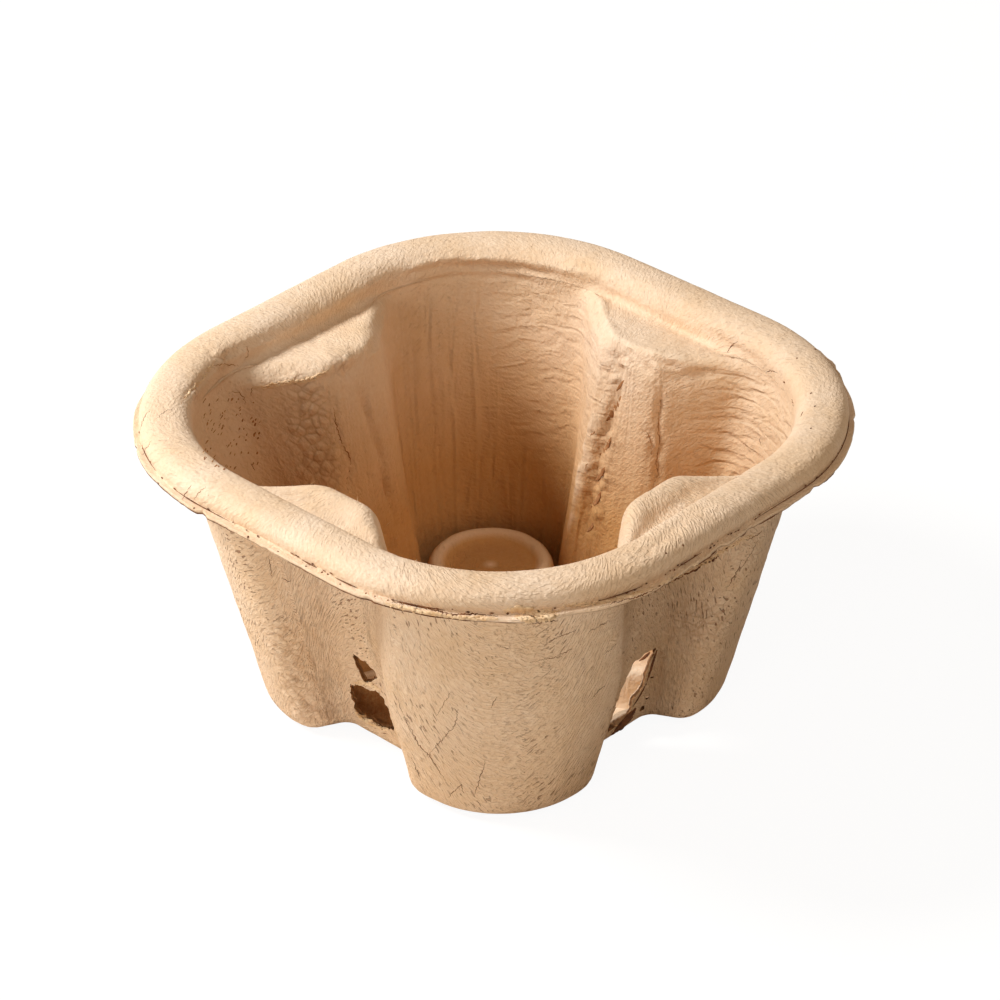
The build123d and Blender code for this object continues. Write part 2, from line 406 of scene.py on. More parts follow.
def floor(sheet, ring_ids, ring, radius, z, side):
    """Flat floor between the foot's outline and the round pads, with points spread over it."""
    circles = [circle(centre, radius) for centre in pad_centres()]
    count = len(circles[0])
    grid = np.arange(-60, 60.1, 2.4)
    gx, gy = np.meshgrid(grid, grid)
    loose = np.column_stack([gx.ravel(), gy.ravel()])
    loose = loose[inside(loose, ring[:, :2])]
    gap = np.min(np.linalg.norm(loose[:, None] - ring[None, ::2, :2], axis=2), axis=1)
    loose = loose[gap > 1.4]
    for cx, cy in pad_centres():
        loose = loose[np.hypot(loose[:, 0] - cx, loose[:, 1] - cy) > radius + 0.9]
    flat = np.concatenate([ring[:, :2]] + circles + [loose])
    edges, start = [], 0
    for size in [len(ring)] + [count] * 4:
        edges += [(start + i, start + (i + 1) % size) for i in range(size)]
        start += size
    verts, _, tris, _, _, _ = geometry.delaunay_2d_cdt([Vector(p) for p in flat], edges, [], 0, 1e-6)
    verts = np.array([tuple(v) for v in verts])
    ids = list(ring_ids)
    circle_ids = []
    for around in circles:
        new = sheet.add(np.column_stack([around, np.full(count, z)]), side)
        circle_ids.append(new)
        ids += list(new)
    rest = verts[len(ids):]
    if len(rest):
        ids += list(sheet.add(np.column_stack([rest, np.full(len(rest), z)]), side))
    middles = np.array([verts[list(t)].mean(axis=0) for t in tris])
    keep = inside(middles, ring[:, :2])
    for cx, cy in pad_centres():
        keep &= np.hypot(middles[:, 0] - cx, middles[:, 1] - cy) > radius * math.cos(math.pi / count)
    for t, ok in zip(tris, keep):
        if ok:
            sheet.faces.append(tuple(ids[n] for n in t))
    return circle_ids


# sections of a pad and of the recess below it: (radius, height)
PAD_RINGS = ((14.62, 2.5), (14.5, 3.6), (14.35, 5.2), (14.2, 7.0), (14.1, 8.6), (13.95, 9.5),
             (13.6, 10.25), (13.1, 10.75), (12.5, 10.97), (12.0, 11.0), (11.5, 10.93), (11.0, 10.7),
             (10.4, 10.3), (9.8, 9.9), (9.0, 9.62), (7.6, 9.5), (5.8, 9.55), (4.0, 9.6), (2.0, 9.62))
RECESS_RINGS = ((12.72, 0.5), (12.6, 1.8), (12.45, 3.4), (12.3, 5.2), (12.15, 6.8), (11.8, 7.7),
                (11.1, 8.08), (9.5, 8.1), (7.2, 8.1), (4.6, 8.1), (2.2, 8.1))


def raised(sheet, circle_ids, rings, side):
    """Round pads that rise from the floor's circles."""
    for centre, low in zip(pad_centres(), circle_ids):
        for radius, z in rings:
            around = circle(centre, radius)
            high = sheet.add(np.column_stack([around, np.full(len(around), z)]), side)
            sheet.band(low, high)
            low = high
        sheet.cap(low)


CUP, MOULD, RIM = 1, 2, 3


def lengths(rows):
    """Coordinates on the sheet for its rows: length round it, and across it from the cup side's foot."""
    steps = np.linalg.norm(np.diff(rows, axis=0), axis=2)
    across = np.concatenate([np.zeros((1, AROUND)), np.cumsum(steps, axis=0)])
    ring = (outline(WALL, 0) + outline(NECK_Z, 0)) / 2
    run = np.concatenate([[0], np.cumsum(np.linalg.norm(np.diff(ring, axis=0, append=ring[:1]), axis=1))])
    around = np.broadcast_to(run[:-1], across.shape)
    return np.stack([around, across], -1).reshape(-1, 2), run[-1]


def build_sheet():
    sheet = Sheet()
    cup, lip, mould = cup_side_rows(), lip_rows(), mould_side_rows()
    rows = [sheet.add(row, CUP, True) for row in cup]
    rows += [sheet.add(row, RIM) for row in lip]
    rows += [sheet.add(row, MOULD, True) for row in mould]
    for low, high in zip(rows, rows[1:]):
        sheet.band(low, high)
    sheet.flow, sheet.girth = lengths(np.concatenate([cup, lip, mould]))
    raised(sheet, floor(sheet, rows[0], cup[0], PAD_R, WALL, CUP), PAD_RINGS, CUP)
    raised(sheet, floor(sheet, rows[-1], mould[-1], RECESS_R, 0.0, MOULD), RECESS_RINGS, MOULD)
    return sheet


def mesh_of(name, points, faces):
    mesh = bpy.data.meshes.new(name)
    mesh.from_pydata([tuple(p) for p in np.asarray(points) * MM], [], [tuple(map(int, f)) for f in faces])
    mesh.update()
    return mesh


def object_of(mesh, *materials):
    piece = bpy.data.objects.new(mesh.name, mesh)
    bpy.context.scene.collection.objects.link(piece)
    for material in materials:
        mesh.materials.append(material)
    return piece


def outward(mesh):
    work = bmesh.new()
    work.from_mesh(mesh)
    bmesh.ops.recalc_face_normals(work, faces=work.faces)
    work.to_mesh(mesh)
    work.free()


def normals_of(mesh):
    flat = np.empty(len(mesh.vertices) * 3)
    mesh.vertex_normals.foreach_get("vector", flat)
    return flat.reshape(-1, 3)


class Caster:
    """Finds where the camera's rays meet a mesh."""

    def __init__(self, mesh):
        self.tree = BVHTree.FromPolygons([v.co[:] for v in mesh.vertices],
                                         [p.vertices[:] for p in mesh.polygons])

    def hit(self, x, y):
        place, normal, _, _ = self.tree.ray_cast(Vector(EYE * MM), Vector(ray(x, y)))
        if place is None:
            return None, None
        return np.array(place) / MM, np.array(normal)

    def line(self, pixels, step=1.5, wander=0.0, seed=0):
        """Points and normals along a line of the picture, in steps of a few pixels."""
        dice = random.Random(seed)
        out = []
        for (ax, ay), (bx, by) in zip(pixels, pixels[1:]):
            count = max(1, int(math.hypot(bx - ax, by - ay) / step))
            for n in range(count):
                t = n / count
                place, normal = self.hit(ax + (bx - ax) * t + dice.uniform(-wander, wander),
                                         ay + (by - ay) * t + dice.uniform(-wander, wander))
                if place is not None:
                    out.append((place, normal))
        return out


# Relief of the sheet
def near_line(points, normals, line, reach):
    """Distance of every point to a line on its own side of the sheet, far beyond reach elsewhere."""
    places = np.array([place for place, _ in line])
    ways = np.array([normal for _, normal in line])
    low, high = places.min(axis=0) - reach, places.max(axis=0) + reach
    pick = np.nonzero(np.all((points > low) & (points < high), axis=1))[0]
    away = np.full(len(points), 1e3)
    share = np.zeros(len(points))
    if len(pick):
        gaps = np.linalg.norm(points[pick][:, None] - places[None], axis=2)
        best = gaps.argmin(axis=1)
        ok = np.einsum("ij,ij->i", normals[pick], ways[best]) > 0.1
        away[pick] = np.where(ok, gaps[np.arange(len(pick)), best], 1e3)
        share[pick] = best / max(len(places) - 1, 1)
    return away, share


# lines of the picture: (pixels, width in mm, depth in mm, below zero for a raised fold)
FOLDS = (
    # creases down the far ribs on the cup side
    ("362,395 366,412 372,430 379,452 382,475 388,498 395,525", 0.9, 0.75),
    ("334,388 335,420 340,440 350,458 351,466 347,480 349,495", 0.6, 0.45),
    ("662,392 659,415 658,430 660,445 656,462 658,474 652,495", 0.7, 0.6),
    ("640,432 648,433 652,445 651,456 643,460", 0.5, 0.35),
    # folded column beside the middle of the far right rib
    ("622,385 614,408 606,436 599,462 593,486 588,510 582,540", 1.1, 0.7),
    ("612,384 603,408 595,436 589,462 583,486 578,510 573,540", 1.5, -0.4),
    # shadow line and folds of the far right ledge
    ("659,388 662,383 670,378 690,375 712,374 735,377 752,381", 0.9, 0.5),
    ("612,360 628,352 640,362 655,360 672,366 690,367", 0.6, 0.4),
    ("598,296 606,318 614,336 636,348 662,356 700,366", 1.0, -0.5),
    ("604,345 600,380 592,420 584,460 574,505 566,548", 0.9, -0.35),
    ("614,355 640,366 656,372", 0.7, 0.5), ("600,372 614,368 628,374", 0.7, 0.5),
    ("600,272 640,292 690,318 730,345 760,362", 0.8, 0.3),
    ("590,283 640,308 690,335 740,362", 0.9, 0.3),
    # wrinkled ridge along the far inner edge of the rim
    ("404,272 416,266 440,259 480,258 520,260 560,267 600,276", 0.9, -0.5),
    ("400,277 440,267 480,266 520,268 560,276", 0.7, 0.6),
    ("420,283 460,276 500,276 540,282", 0.7, 0.4),
    ("246,350 280,334 320,313 352,294 384,276", 1.0, -0.35),
    # crumpled lower edge of the far left ledge
    ("250,390 268,384 290,379 320,374 340,362 360,350 376,334", 1.2, -0.45),
    # seam along the left inner edge of the rim
    ("181,403 187,394 196,388 204,378 213,366 224,358 246,346 285,330",
     0.6, 0.4),
    # creases of the near bumps
    ("280,489 320,503 342,518 360,533 380,545 399,556", 1.3, 0.45),
    ("636,540 655,520 680,500 705,484 740,474", 1.2, 0.4),
    ("640,560 662,538 690,512 720,500", 0.9, 0.3),
    # folds beside the torn openings
    ("345,640 352,653", 0.8, 0.5), ("366,632 371,650 380,672", 1.2, -0.4),
    ("660,640 668,656 664,690 655,715", 1.3, -0.35),
    ("330,655 338,680 342,705 344,728", 1.2, -0.35),
    # curved wrinkles of the left lobe beside its rib
    ("283,645 296,655 306,668", 0.7, 0.35), ("280,664 295,672 308,688", 0.7, 0.4),
    ("286,684 299,692 311,706", 0.7, 0.35), ("300,640 312,655 320,672", 0.7, 0.3),
    ("305,620 318,634 326,650", 0.7, 0.3), ("294,704 308,712 318,724", 0.7, 0.3),
)


# places in the picture round which a surface is crumpled or scaly: (x, y, radius in mm)
SCALY = ((290, 655, 5.0), (296, 684, 6.5), (306, 706, 6.0), (326, 712, 5.0), (283, 632, 3.5), (310, 425, 7.0),
         (322, 462, 6.5), (306, 395, 4.5), (194, 392, 3.0), (222, 358, 3.0), (620, 362, 2.6), (612, 376, 3.0),
         (340, 364, 3.0), (300, 380, 3.0), (700, 620, 8.0), (600, 480, 5.0), (596, 520, 4.0), (608, 440, 4.0))


def zone(points, normals, caster, spots):
    """Share of a zone that covers each point, fading out over each spot's radius."""
    share = np.zeros(len(points))
    for x, y, radius in spots:
        place, normal = caster.hit(x, y)
        if place is not None:
            gap = np.linalg.norm(points - place, axis=1)
            share = np.maximum(share, np.exp(-((gap / radius) ** 2) * 1.4) * (normals @ normal > 0.1))
    return share


def relief(points, normals, sides, caster):
    """How far each point moves out along its normal, and the share of the crumpled zones."""
    cup = sides == CUP
    x, y, z = points.T
    broad = 0.22 * noise(points, 24, 1) + 0.10 * layers(points, 7, 2, 2) + 0.06 * layers(points, 2.8, 5, 2)
    calm = np.where(sides == RIM, 0.1, 1.0)
    calm = calm * (1 - 0.6 * np.clip((z - 67) / 2, 0, 1)) * (0.25 + 0.75 * np.clip(z / 3, 0, 1))
    lift = broad * calm
    warp = points + 1.2 * np.column_stack([noise(points, 5, 21), noise(points, 5, 22), noise(points, 5, 23)])
    scaly = zone(points, normals, caster, SCALY) * (sides != RIM)
    crumple = np.abs(noise(warp * [1, 1, 1.5], 2.6, 27)) + 0.5 * np.abs(noise(warp, 1.5, 28)) - 0.42
    lift += scaly * 0.6 * crumple
    # worn, lumpy edge of the ledges
    ledge = np.exp(-(((z - 63) / 3.0) ** 2)) * cup * (np.minimum(np.abs(x), np.abs(y)) < 17)
    far = np.clip(np.clip(-x / 30, 0, 1) + np.clip(y / 30, 0, 1), 0, 1)
    lift += ledge * far * 0.35 * layers(points, 2.8, 31, 2)
    for number, (pixels, width, depth) in enumerate(FOLDS):
        line = caster.line(drawn(pixels), 2.0, 1.2, number)
        if len(line) < 2:
            continue
        away, share = near_line(points, normals, line, 4 * width)
        taper = np.clip(6 * share + 0.3, 0, 1) * np.clip(6 * (1 - share) + 0.3, 0, 1)
        wide = width * (1 + 0.35 * noise(points, 4, 40 + number))
        uneven = 1 + 0.4 * noise(points, 2.5, 60 + number)
        lift -= 1.25 * depth * taper * np.exp(-((away / wide) ** 2)) * uneven
    return lift, scaly


# Materials
def rgb(red, green, blue):
    """Linear colour from the values of a screen."""
    return tuple((v / 255 / 12.92) if v <= 10 else ((v / 255 + 0.055) / 1.055) ** 2.4
                 for v in (red, green, blue))


class Nodes:
    """A node tree, with short calls for its nodes and links."""

    def __init__(self, tree):
        self.tree = tree

    def link(self, out, into):
        self.tree.links.new(out, into)

    def node(self, kind, inputs=None, **settings):
        """A new node, whose inputs, by name or number, are values or other nodes' outputs."""
        made = self.tree.nodes.new(kind)
        for key, value in settings.items():
            setattr(made, key, value)
        for key, value in (inputs or {}).items():
            if isinstance(value, bpy.types.NodeSocket):
                self.link(value, made.inputs[key])
            else:
                made.inputs[key].default_value = value
        return made


class Paint(Nodes):
    """A node material, with short calls for patterns; sizes are features per metre."""

    def __init__(self, name, roughness):
        self.material = bpy.data.materials.new(name)
        self.material.use_nodes = True
        super().__init__(self.material.node_tree)
        self.shader = self.tree.nodes["Principled BSDF"]
        self.shader.inputs["Roughness"].default_value = roughness
        self.place = self.node("ShaderNodeTexCoord").outputs["Object"]

    def attribute(self, name, output="Fac"):
        return self.node("ShaderNodeAttribute", attribute_name=name).outputs[output]

    def flow(self, slant, along, across):
        """Coordinates on the sheet for a pattern drawn out at a slant, outside seen from outside."""
        turn = {"Vector": self.attribute("flow", "Vector"), "Rotation": (0, 0, math.radians(slant))}
        drawn_out = {"Vector": self.node("ShaderNodeMapping", turn).outputs["Vector"],
                     "Scale": (along, across, 1)}
        return self.node("ShaderNodeMapping", drawn_out).outputs["Vector"]

    def noise(self, scale, detail=3, rough=0.55, warp=0.0, vector=None, dimensions="3D"):
        inputs = {"Vector": vector or self.place, "Scale": scale, "Detail": detail, "Roughness": rough,
                  "Distortion": warp}
        return self.node("ShaderNodeTexNoise", inputs, noise_dimensions=dimensions).outputs["Fac"]

    def dashes(self, slant, along, across, low, high, warp=0.0):
        return self.step(self.noise(1.0, 1, 0.5, warp, self.flow(slant, along, across), "2D"), low, high)

    def warped(self, scale, reach):
        """Coordinates that wander by up to a reach in metres."""
        swirl = self.node("ShaderNodeTexNoise", {"Vector": self.place, "Scale": scale, "Detail": 0})
        shrunk = self.node("ShaderNodeVectorMath", {0: swirl.outputs["Color"], "Scale": reach},
                           operation="SCALE")
        return self.node("ShaderNodeVectorMath", {0: self.place, 1: shrunk.outputs[0]},
                         operation="ADD").outputs[0]

    def cells(self, scale, feature="F1", vector=None):
        inputs = {"Vector": vector or self.place, "Scale": scale}
        return self.node("ShaderNodeTexVoronoi", inputs, feature=feature).outputs["Distance"]

    def step(self, value, low, high, a=0.0, b=1.0):
        inputs = {"Value": value, "From Min": low, "From Max": high, "To Min": a, "To Max": b}
        return self.node("ShaderNodeMapRange", inputs, clamp=True).outputs["Result"]

    def maths(self, how, a, b):
        return self.node("ShaderNodeMath", {0: a, 1: b}, operation=how).outputs[0]

    def times(self, a, b):
        return self.maths("MULTIPLY", a, b)

    def total(self, *parts):
        """Sum of (value, share) pairs."""
        out = 0.0
        for part, share in parts:
            out = self.maths("ADD", out, self.times(part, share))
        return out

    def mix(self, share, a, b):
        made = self.node("ShaderNodeMix", data_type="RGBA")
        sockets = {socket.identifier: socket for socket in made.inputs}
        for key, value in (("Factor_Float", share), ("A_Color", a), ("B_Color", b)):
            if isinstance(value, tuple):
                sockets[key].default_value = (*value, 1)
            else:
                self.link(value, sockets[key])
        return next(socket for socket in made.outputs if socket.identifier == "Result_Color")

    def colour(self, value):
        self.link(value, self.shader.inputs["Base Color"])

    def bump(self, height, strength, distance):
        made = self.node("ShaderNodeBump", {"Height": height, "Strength": strength, "Distance": distance})
        self.link(made.outputs["Normal"], self.shader.inputs["Normal"])


def pulp_material(name, pale, warm, deep):
    """Pulp whose colours are those of pale and warm clouds, and of a deep colour that paints shade down
    inside the cup side.
    """
    p = Paint(name, 0.8)
    p.shader.inputs["Specular IOR Level"].default_value = 0.22
    lean, outside, weft, scaly = (p.attribute(key) for key in ("lean", "outside", "weft", "scaly"))
    # the wire of the mould leaves short dashes whose slant changes round every lobe
    steep, shallow, rising = (p.dashes(slant, 620, across, 0.44, 0.60)
                              for slant, across in ((-62, 1650), (-22, 1600), (48, 1650)))
    weave = p.mix(p.step(lean, -0.10, -0.42), shallow, steep)
    weave = p.times(p.mix(p.step(lean, 0.08, 0.36), weave, rising), weft)
    # deeper and rarer dashes and pits, in rows at the right of every lobe
    patches = p.step(p.noise(48, 1), 0.44, 0.54)
    pits = p.times(p.dashes(40, 560, 1700, 0.655, 0.70),
                   p.times(p.step(lean, -0.05, 0.2), p.step(patches, 0, 1, 0.15, 1)))
    slits = p.times(p.dashes(-66, 480, 1700, 0.68, 0.72),
                    p.times(p.step(lean, 0.1, -0.2), p.step(patches, 0, 1, 1, 0.3)))
    gouges = p.times(p.maths("MAXIMUM", pits, slits), p.step(outside, 0, 1, 0.15, 1))
    spots = p.times(p.step(p.cells(330), 0.08, 0.17, 1.0, 0.0), p.step(p.noise(150, 0, 0.5), 0.60, 0.62))
    dark = p.maths("MAXIMUM", gouges, p.times(spots, p.step(outside, 0, 1, 0.2, 0.5)))
    # scaly plates, and painted shade in the valleys between them
    bent = p.warped(160, 0.002)
    plates = p.times(p.step(p.cells(440, "F1", bent), 0.0, 0.75, 1, 0), scaly)
    plate_valley_shade = p.times(p.step(p.cells(440, "DISTANCE_TO_EDGE", bent), 0.0, 0.17, 1, 0), scaly)
    # soft clouds of paler and browner pulp, painted shade that browns the cup side down inside, and tints
    # over them
    colour = p.mix(p.step(p.noise(55, 4, 0.6), 0.34, 0.68), pale, warm)
    colour = p.mix(p.attribute("depth"), colour, deep)
    for share, strength, tint in (
        # painted shade at the foot of the inner walls, in the pads' dishes and behind the left tear
        (p.attribute("painted_shade"), 0.8, rgb(120, 70, 26)),
        (p.step(p.noise(1100, 3, 0.75), 0.35, 0.72), 0.28, rgb(212, 168, 120)),
        # painted shade between the raised dashes of the weave
        (p.maths("SUBTRACT", weft, weave), 0.16, rgb(190, 140, 96)),
        # painted shade in the valleys between the scaly plates
        (plate_valley_shade, 0.42, rgb(150, 98, 56)),
        (dark, 0.62, rgb(116, 60, 24)),
        # paler where the surface stands proud, with a painted highlight on the pads' raised rings and painted
        # light on the wall behind the long tear; painted shadow darkens the lip's underside
        (p.attribute("worn"), 0.5, rgb(252, 232, 204)),
        (p.attribute("painted_lip_shadow"), 0.85, rgb(96, 52, 20)),
    ):
        colour = p.mix(p.times(share, strength), colour, tint)
    p.colour(colour)
    # relief in mm
    ripple = p.times(p.times(p.dashes(6, 170, 480, 0.30, 0.70, 0.5), 0.42), p.attribute("ripple"))
    streak = p.times(p.dashes(90, 40, 330, 0.30, 0.70, 0.4), p.attribute("streak"))
    lumps, grit = p.noise(520, 2, 0.6), p.noise(1500, 1, 0.6)
    height = p.total((weave, 0.17), (lumps, 0.26), (grit, 0.15), (ripple, 0.95), (streak, 0.6),
                     (plates, 0.7), (gouges, -0.45))
    p.bump(height, 1.0, MM)
    return p.material


def crack_material(name, deep, light):
    p = Paint(name, 0.95)
    p.colour(p.mix(p.step(p.noise(700, 3), 0.35, 0.7), deep, light))
    p.bump(p.noise(1500, 3), 0.6, 0.2 * MM)
    return p.material


def fray_material():
    p = Paint("pulp fray", 0.9)
    p.colour(p.mix(p.step(p.noise(500, 4), 0.3, 0.7), rgb(244, 216, 178), rgb(216, 174, 126)))
    p.bump(p.noise(1200, 4, 0.7), 0.8, 0.3 * MM)
    return p.material


# Torn openings: outlines as (place along the side, height), and pinholes as (centre, radius)
LOWER_TEAR = ((-8.0, 14.0), (-8.8, 12.0), (-8.3, 6.8), (-7.0, 5.2), (-3.6, 6.2), (-2.0, 4.8), (0, 6.2),
              (3.2, 6.4), (3.1, 9.6), (2.3, 12.4), (1.6, 14.8), (0, 16.0), (-3.6, 14.8))
UPPER_TEAR = ((-5.9, 23.6), (-5.3, 20.8), (-4.6, 18.0), (-3.8, 16.6), (-1.3, 18.4), (0.2, 20.2),
              (0, 22.0), (-2.2, 23.4))
LONG_TEAR = ((9.5, 21.6), (8.6, 17.8), (7.8, 14.6), (7.7, 12.2), (7.1, 10.4), (5.0, 9.2), (4.8, 7.0),
             (4.1, 4.0), (-2.0, 3.6), (-1.0, 9.4), (0.5, 14.6), (1.8, 17.8), (2.8, 20.4), (5.8, 21.2))
PINHOLES = (((10.0, 13.0), 0.35), ((8.8, 11.5), 0.3), ((9.9, 7.1), 0.4), ((9.0, 4.6), 0.8))


def ragged(outline_points, seed, step=0.45, rough=0.42):
    """A torn edge: the outline cut into short steps that wander."""
    dice = random.Random(seed)
    out = []
    count = len(outline_points)
    for n, (ax, az) in enumerate(outline_points):
        bx, bz = outline_points[(n + 1) % count]
        length = math.hypot(bx - ax, bz - az)
        pieces = max(2, int(length / step))
        for k in range(pieces):
            t = k / pieces
            px, pz = ax + (bx - ax) * t, az + (bz - az) * t
            spot = np.array([px, pz, seed])
            shift = rough * (noise(spot, 1.6, 3) + 0.6 * noise(spot, 0.6, 4))
            nx, nz = (bz - az) / length, -(bx - ax) / length
            out.append((px + nx * shift + dice.uniform(-0.05, 0.05), pz + nz * shift))
    return out


def dot(centre, radius, seed):
    """An uneven small hole."""
    dice = random.Random(seed)
    return [(centre[0] + radius * dice.uniform(0.7, 1.2) * math.cos(t),
             centre[1] + radius * dice.uniform(0.7, 1.3) * math.sin(t))
            for t in np.linspace(0, 2 * math.pi, 9, endpoint=False)]


def loop_of(edges):
    """Vertices of one closed loop, in order, from its edges."""
    ways = {}
    for a, b in edges:
        ways.setdefault(a, []).append(b)
        ways.setdefault(b, []).append(a)
    start = edges[0][0]
    loop, last, here = [start], None, start
    while True:
        ahead = [n for n in ways[here] if n != last]
        last, here = here, ahead[0]
        if here == start:
            return loop
        loop.append(here)


def open_side(points, faces, pick, outlines, along_x):
    """Replaces the picked faces by finer ones with openings, and gives the rims of the openings."""
    s = points[:, 1] if along_x else points[:, 0]
    z = points[:, 2]
    chosen = [faces[n] for n in pick]
    uses = {}
    for face in chosen:
        for a, b in zip(face, face[1:] + face[:1]):
            key = (min(a, b), max(a, b))
            uses[key] = uses.get(key, 0) + 1
    border = [key for key, count in uses.items() if count == 1]
    loop = loop_of(border)
    ring = np.column_stack([s[loop], z[loop]])
    body = sorted({n for face in chosen for n in face} - set(loop))
    flat_body = np.column_stack([s[body], z[body]])
    near = np.zeros(len(body), bool)
    for shape in outlines:
        shape = np.array(shape)
        gap = np.linalg.norm(flat_body[:, None] - shape[None], axis=2).min(axis=1)
        near |= inside(flat_body, shape) | (gap < 0.35)
    body = [n for n, drop in zip(body, near) if not drop]
    flat = [Vector((s[n], z[n])) for n in loop + body]
    ids = loop + body
    edges = [(n, (n + 1) % len(loop)) for n in range(len(loop))]
    spans = []
    for shape in outlines:
        start = len(flat)
        flat += [Vector(q) for q in shape]
        edges += [(start + n, start + (n + 1) % len(shape)) for n in range(len(shape))]
        spans.append((start, len(shape)))
    verts, _, tris, origins, _, _ = geometry.delaunay_2d_cdt(flat, edges, [], 0, 1e-5)
    tree = BVHTree.FromPolygons([p[:] for p in points.tolist()], chosen)
    way = Vector((1, 0, 0)) if along_x else Vector((0, -1, 0))
    made, fresh, place_of = [], {}, {}
    for n, (vert, source) in enumerate(zip(verts, origins)):
        known = [k for k in source if k < len(ids)]
        if known:
            place_of[n] = ids[known[0]]
            continue
        start = Vector((10, vert[0], vert[1])) if along_x else Vector((vert[0], -10, vert[1]))
        hit = tree.ray_cast(start, way)[0]
        hit = hit if hit is not None else tree.find_nearest(start + way * 25)[0]
        place_of[n] = len(points) + len(made)
        made.append(hit[:])
        for k in source:
            fresh[k] = place_of[n]
    middles = np.array([np.mean([verts[k][:] for k in t], axis=0) for t in tris])
    keep = inside(middles, ring)
    for shape in outlines:
        keep &= ~inside(middles, np.array(shape))
    new_faces = [tuple(place_of[k] for k in t) for t, ok in zip(tris, keep) if ok]
    rims = [[fresh[start + n] for n in range(size)] for start, size in spans]
    return np.array(made), new_faces, rims


def cut_tears(points, faces, sides, walls):
    """Opens the tears through both sides of the sheet and joins them by rough torn edges."""
    # (whether the side faces +X, the patch's ends along the side, the cup side's shift, outlines)
    plans = (
        (False, -12.5, 7.4, (-1.3, -0.9),
         [ragged(LOWER_TEAR, 1, 0.35, 0.6), ragged(UPPER_TEAR, 2, 0.35, 0.5)]),
        (True, -6.0, 13.4, (1.7, -1.2),
         [ragged(LONG_TEAR, 3)] + [dot(c, r, n) for n, (c, r) in enumerate(PINHOLES)]),
    )
    torn_faces = []
    for along_x, left, right, shift, outlines in plans:
        pairs = []
        for side in (CUP, MOULD):
            s = points[:, 1] if along_x else points[:, 0]
            away = points[:, 0] if along_x else -points[:, 1]
            ok = (walls & (sides == side) & (s > left) & (s < right) & (away > 26)
                  & (points[:, 2] > 3.3) & (points[:, 2] < 27))
            pick = [n for n, face in enumerate(faces) if all(ok[k] for k in face)]
            # on the cup side an opening lies further along the camera's view, so that its edge looks thin
            ahead = shift if side == CUP else (0, 0)
            cuts = [[(s + ahead[0], max(z + ahead[1], 3.8)) for s, z in shape] for shape in outlines]
            made, fresh, rims = open_side(points, faces, pick, cuts, along_x)
            gone = set(pick)
            faces = [face for n, face in enumerate(faces) if n not in gone] + fresh
            points = np.concatenate([points, made])
            sides = np.concatenate([sides, np.full(len(made), side)])
            walls = np.concatenate([walls, np.full(len(made), False)])
            pairs.append(rims)
        for cup_rim, mould_rim in zip(*pairs):
            rows = [cup_rim]
            a, b = points[cup_rim], points[mould_rim]
            middle = a.mean(axis=0)
            for share in (0.25, 0.5, 0.75):
                at = a + (b - a) * share
                inwards = middle - at
                inwards /= np.linalg.norm(inwards, axis=1)[:, None]
                at = at + inwards * (0.28 * noise(at, 0.9, 71) + 0.12 * noise(at, 0.4, 72))[:, None]
                rows.append(list(range(len(points), len(points) + len(at))))
                points = np.concatenate([points, at])
                sides = np.concatenate([sides, np.full(len(at), MOULD)])
                walls = np.concatenate([walls, np.full(len(at), False)])
            rows.append(mould_rim)
            for low, high in zip(rows, rows[1:]):
                n = len(low)
                torn_faces += [(low[i], low[(i + 1) % n], high[(i + 1) % n], high[i]) for i in range(n)]
    return points, faces, torn_faces, sides


# The pieces
FAR_FLOW = 900.0  # mm beyond the sheet's own coordinates, for the edges of the tears
# painted light on the wall seen through the long tear
PAINTED_LIGHT_BEHIND = "634,668 632,684 630,698 620,712"
# painted shade on the wall seen through the left tear
PAINTED_SHADE_BEHIND = "366,704 376,714 386,724"


def add_flow(mesh, points, sheet):
    """Gives every face corner its coordinates along the sheet, so that a pattern follows the surface."""
    known = len(sheet.flow)
    old = np.concatenate(sheet.points)
    flow = points[:, :2].copy() + FAR_FLOW
    flow[:known] = sheet.flow
    tree = KDTree(known)
    for n in range(known):
        tree.insert(old[n], n)
    tree.balance()
    for n in range(len(old), len(points)):
        near = tree.find_n(points[n], 3)
        best = near[0][1]
        pull = np.array([1 / (gap + 0.05) for _, _, gap in near])
        spots = np.array([sheet.flow[k] for _, k, _ in near])
        home = sheet.flow[best, 0]
        spots[:, 0] = np.where(np.abs(spots[:, 0] - home) > 20, home, spots[:, 0])
        flow[n] = (spots * pull[:, None]).sum(axis=0) / pull.sum()
    corners = np.empty(len(mesh.loops), int)
    mesh.loops.foreach_get("vertex_index", corners)
    value = flow[corners]
    starts, totals = np.empty(len(mesh.polygons), int), np.empty(len(mesh.polygons), int)
    mesh.polygons.foreach_get("loop_start", starts)
    mesh.polygons.foreach_get("loop_total", totals)
    highest = np.maximum.reduceat(value[:, 0], starts)
    face_of = np.repeat(np.arange(len(starts)), totals)
    wrapped = (highest[face_of] - value[:, 0] > sheet.girth / 2) & (highest[face_of] < FAR_FLOW - 10)
    value[wrapped, 0] += sheet.girth
    vectors = np.column_stack([value * MM, np.zeros(len(value))]).astype(np.float32)
    mesh.attributes.new("flow", "FLOAT_VECTOR", "CORNER").data.foreach_set("vector", vectors.ravel())


